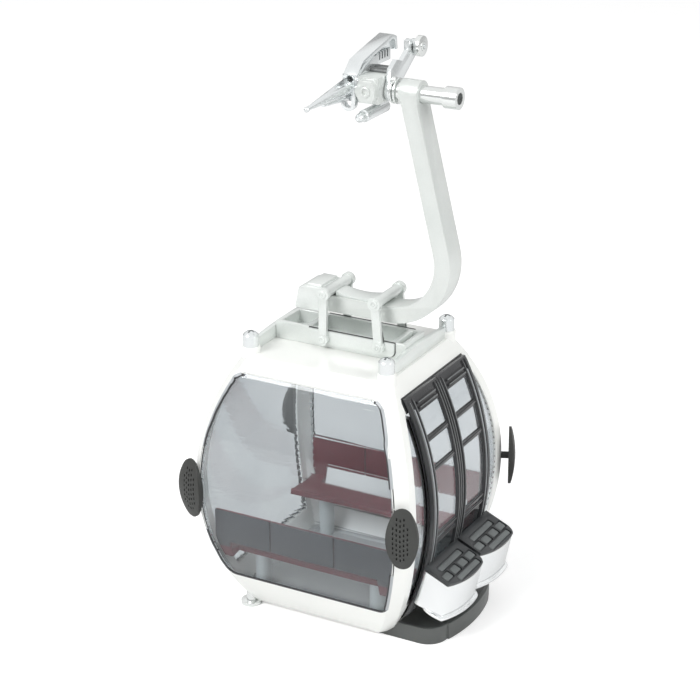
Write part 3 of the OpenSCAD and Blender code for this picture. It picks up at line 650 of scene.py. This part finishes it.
# dark crosses at the floor of the star recesses in the post tops: painted shade
crossShade = joined("postCrossShade", *[block("cross", (x - long / 2, y - wide / 2, post["crossFloor"] - 0.1),
                                        (x + long / 2, y + wide / 2, post["crossFloor"] + 0.3))
                                  for x, y in places for long, wide in ((1.9, 0.4), (0.4, 1.9))])
settle(crossShade, darkMetalAndShade, "cabin")
seats = [turned("seat", (x, y, 65.2), (x, y, 72), [(0, post["seatRadius"]), (post["seatTop"] - 65.5, post["seatRadius"]),
                                                 (post["seatTop"] - 65.28, post["seatRadius"] - 0.1),
                                                 (post["seatTop"] - 65.2, post["seatRadius"] - 0.32)]) for x, y in places]
postSeats = joined("postSeats", *seats)
smooth(postSeats, 50)
settle(postSeats, shellWhite, "cabin")

# dark line round the plates on the carrier: painted shadow of the gap between plates and carrier
plateShadowLine = cadCopy("carrier_plates", "plateShadowLine")
edit(plateShadowLine)
bpy.ops.mesh.select_all(action="SELECT")
bpy.ops.transform.shrink_fatten(value=0.17 * mm, use_even_offset=True)
for side in (-1, 1):
    bpy.ops.mesh.select_all(action="SELECT")
    bpy.ops.mesh.bisect(plane_co=(0, side * 5.32 * mm, 0), plane_no=(0, side, 0), use_fill=True, clear_outer=True)
leave()
settle(plateShadowLine, sealBlack, "cabin")

# bolt heads: where each stands, which way it points, its size
bolts = {"innerTop": ((-3.7, 83.1), 7, 1), "innerFoot": ((-4, 71.3), 7, 0.95),
         "outerTop": ((10.5, 83.1), 7, 1), "outerFoot": ((11.5, 72), 7, 0.95)}
for word, ((x, z), y, size) in bolts.items():
    for side, end in ((-1, "Front"), (1, "Rear")):
        bolt = turned(word + end + "Bolt", (x, side * (y - 0.2), z), (x, side * (y + 1), z),
                      [(0, size), (0.35, size), (0.48, size * 0.88), (0.48, size * 0.62), (0.3, size * 0.55),
                       (0.3, size * 0.3), (0.42, size * 0.22), (0.45, size * 0.08)], 28)
        smooth(bolt, 30)
        settle(bolt, castSilver, "cabin")

endBlock = block("endBlockCap", (-9.5, -4.1, 83.7), (-5.5, 4.1, 84.45))
roundEdges(endBlock, 0.3, 3)
smooth(endBlock)
settle(endBlock, castSilver, "cabin")

# grip: tapered handle, ball on the long tongue, ring round the boss hole, dark rods, comb under the hood
gripBits = {"handle": [(0, 1.3), (0.3, 1.42), (10.4, 1.5), (10.75, 1.45), (10.95, 1.2), (11.1, 1.12), (12.3, 1.12),
                       (13, 1), (13.5, 0.72), (13.8, 0.35)],
            "ball": [(0, 0.35), (0.12, 0.5), (0.35, 0.64), (0.7, 0.68), (1.05, 0.6), (1.3, 0.38), (1.4, 0.15)],
            "ring": [(0, 1.25), (0.35, 1.25), (0.45, 1.12), (0.45, 0.85), (0.35, 0.75), (-0.5, 0.7)],
            "rod": [(0, 0.85), (5, 0.85)], "knob": [(0, 0.45), (0.1, 0.75), (0.5, 0.9), (0.9, 0.75), (1.1, 0.4)]}
handle = turned("handle", (8.4, 3.4, 129.4), (8.4, -10, 129.4), gripBits["handle"])
strut = block("strut", (7.4, -1, 129.6), (9.4, 3.4, 131.9))
roundEdges(strut, 0.3, 2)
handle = joined("gripHandle", handle, strut)
smooth(handle, 35)
settle(handle, platedSilver, "grip", "grip_handle")
hornBall = turned("hornBall", (2.9, -23.2, 134.33), (2.9, -24.8, 134.25), gripBits["ball"])
smooth(hornBall, 60)
settle(hornBall, platedSilver, "grip")
bossRing = turned("bossRing", (8.6, -6.9, 135), (8.6, -8, 135), gripBits["ring"])
smooth(bossRing, 40)
settle(bossRing, hangerSilver, "grip")
rods = joined("gripRods", *[turned("rod", (5.9, y, 138.15), (10.95, y, 138.15), gripBits["rod"], 24) for y in (1, 3.6)])
smooth(rods, 40)
settle(rods, darkMetalAndShade, "grip")
eyeKnob = turned("eyeKnob", (12.75, -1.6, 137.2), (14, -1.6, 137.2), gripBits["knob"], 24)
smooth(eyeKnob, 60)
settle(eyeKnob, turnedSteel, bodyOfNode["pivot_washers"])
comb = block("hoodComb", (2.2, 4.9, 138.3), (5.4, 11.8, 141.25))
roundEdges(comb, 0.3, 2)
cutWith(comb, *[block("cutter", (4.1, y, 139.4), (9, y + 0.55, 143)) for y in (5.9, 7.2, 8.5, 9.8)])
smooth(comb)
settle(comb, platedSilver, "grip")
# dark disc at the floor of the tube's star socket: painted shade
socketShadeDisc = turned("socketShadeDisc", (27.3, 0, 134.3), (28.5, 0, 134.3), [(0, 1.42), (0.25, 1.42), (0.3, 1.3)], 24)
settle(socketShadeDisc, darkMetalAndShade, "cabin")
print("roof gear and grip done")


# floor, light and camera
studio = {"floorTone": (0.9, 0.9, 0.9), "floorGlow": 0.3, "skyOnObject": 0.6, "skyInMetal": 0.5, "keyPower": 6.8, "fillPower": 3.6}
pick()
bpy.ops.mesh.primitive_plane_add(size=6)
floor = bpy.context.object
floor.name = "studioFloor"
floorPaint = bpy.data.materials.new("studioFloor")
floorPaint.use_nodes = True
paintNodes, paintLinks = floorPaint.node_tree.nodes, floorPaint.node_tree.links
paint = paintNodes["Principled BSDF"]
paint.inputs["Base Color"].default_value = (*studio["floorTone"], 1)
paint.inputs["Roughness"].default_value = 0.9
paint.inputs["Specular IOR Level"].default_value = 0.1
ray = paintNodes.new("ShaderNodeLightPath")
glow = paintNodes.new("ShaderNodeMath")
glow.operation = "MULTIPLY"
glow.inputs[1].default_value = studio["floorGlow"]
paintLinks.new(ray.outputs["Is Camera Ray"], glow.inputs[0])
paint.inputs["Emission Color"].default_value = (1, 1, 1, 1)
paintLinks.new(glow.outputs["Value"], paint.inputs["Emission Strength"])
floor.data.materials.append(floorPaint)

world = bpy.data.worlds.new("studio")
bpy.context.scene.world = world
world.use_nodes = True
skyNodes, skyLinks = world.node_tree.nodes, world.node_tree.links
sky = skyNodes["Background"]
sky.inputs["Color"].default_value = (1, 1, 1, 1)
ray = skyNodes.new("ShaderNodeLightPath")
# glossy rays see a softer band near the horizon, as from the edge of a light tent
skyPlace = skyNodes.new("ShaderNodeTexCoord")
skyHeight = skyNodes.new("ShaderNodeSeparateXYZ")
skyLinks.new(skyPlace.outputs["Generated"], skyHeight.inputs["Vector"])
band = skyNodes.new("ShaderNodeMapRange")
band.interpolation_type = "SMOOTHSTEP"
band.inputs["From Min"].default_value = 0.05
band.inputs["From Max"].default_value = 0.6
band.inputs["To Min"].default_value = studio["skyInMetal"]
band.inputs["To Max"].default_value = 1
skyLinks.new(skyHeight.outputs["Z"], band.inputs["Value"])
inMetal = skyNodes.new("ShaderNodeMapRange")
inMetal.inputs["To Min"].default_value = studio["skyOnObject"]
skyLinks.new(ray.outputs["Is Glossy Ray"], inMetal.inputs["Value"])
skyLinks.new(band.outputs["Result"], inMetal.inputs["To Max"])
seen = skyNodes.new("ShaderNodeMath")
seen.operation = "MAXIMUM"
skyLinks.new(ray.outputs["Is Camera Ray"], seen.inputs[0])
skyLinks.new(ray.outputs["Is Transmission Ray"], seen.inputs[1])
level = skyNodes.new("ShaderNodeMapRange")
level.inputs["To Max"].default_value = 1
skyLinks.new(seen.outputs["Value"], level.inputs["Value"])
skyLinks.new(inMetal.outputs["Result"], level.inputs["To Min"])
skyLinks.new(level.outputs["Result"], sky.inputs["Strength"])


def softLamp(name, place, aim, size, power):
    lamp = bpy.data.lights.new(name, "AREA")
    lamp.shape = "SQUARE"
    lamp.size = size
    lamp.energy = power
    obj = bpy.data.objects.new(name, lamp)
    bpy.context.scene.collection.objects.link(obj)
    obj.location = place
    obj.rotation_euler = (Vector(aim) - Vector(place)).to_track_quat("-Z", "Y").to_euler()


softLamp("keyLamp", (-0.35, -0.75, 0.75), (0, 0, 0.06), 0.5, studio["keyPower"])
softLamp("fillLamp", (0.8, -0.1, 0.5), (0, 0, 0.06), 0.5, studio["fillPower"])

view = {"target": (0.04, 0.03, 66.94), "back": (0.45208, -0.80878, 0.37621), "distance": 488.6,
        "lens": 101.47, "roll": -0.571}
back = Vector(view["back"]).normalized()
cameraData = bpy.data.cameras.new("camera")
cameraData.lens = view["lens"]
cameraData.sensor_width = 36
camera = bpy.data.objects.new("camera", cameraData)
bpy.context.scene.collection.objects.link(camera)
camera.location = at(*view["target"]) + back * view["distance"] * mm
camera.rotation_mode = "QUATERNION"
camera.rotation_quaternion = (-back).to_track_quat("-Z", "Y") @ Quaternion((0, 0, 1), math.radians(view["roll"]))
bpy.context.scene.camera = camera
bpy.context.scene.view_settings.view_transform = "Standard"
print("studio done")
